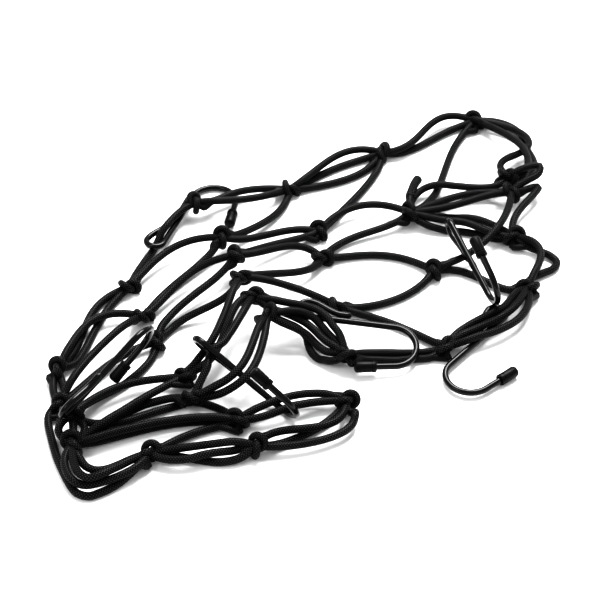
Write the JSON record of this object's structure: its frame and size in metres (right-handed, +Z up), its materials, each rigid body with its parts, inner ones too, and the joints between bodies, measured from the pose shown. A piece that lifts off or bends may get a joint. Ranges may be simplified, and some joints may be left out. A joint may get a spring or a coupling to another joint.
{
  "type": "cargo net",
  "caption": "Knotted elastic cord net with open wire hooks for holding luggage down, lying loosely crumpled on a flat surface.",
  "frame": {"origin": "on the surface that the net lies on, under the middle of its bounding box", "axes": "+Z up from the surface, +Y away from the side the net is seen from, +X to that view's right"},
  "size_m": [0.3296, 0.3621, 0.0496],
  "materials": {
    "cord": "satin woven sheath over elastic, black",
    "wire": "glossy black coating on steel wire",
    "sleeve": "smooth black rubber"
  },
  "bodies": {
    "root": {"knot_01": "cord", "knot_02": "cord", "knot_03": "cord", "knot_04": "cord", "knot_05": "cord", "knot_06": "cord", "knot_07": "cord", "knot_08": "cord", "knot_09": "cord", "knot_10": "cord", "knot_11": "cord", "knot_12": "cord", "knot_13": "cord", "knot_14": "cord", "knot_15": "cord", "knot_16": "cord", "knot_17": "cord", "knot_18": "cord", "knot_19": "cord", "knot_20": "cord", "knot_21": "cord", "knot_22": "cord", "knot_23": "cord", "knot_24": "cord", "knot_25": "cord", "knot_26": "cord", "knot_27": "cord", "knot_28": "cord", "knot_29": "cord", "knot_30": "cord", "knot_31": "cord", "knot_32": "cord", "knot_33": "cord", "hook_a": "wire", "hook_b": "wire", "hook_c": "wire", "hook_d": "wire", "hook_e": "wire", "hook_f": "wire", "sleeve_a": "sleeve", "sleeve_b": "sleeve", "sleeve_c": "sleeve", "sleeve_d": "sleeve", "sleeve_e": "sleeve", "sleeve_f": "sleeve"}
  },
  "joints": []
}
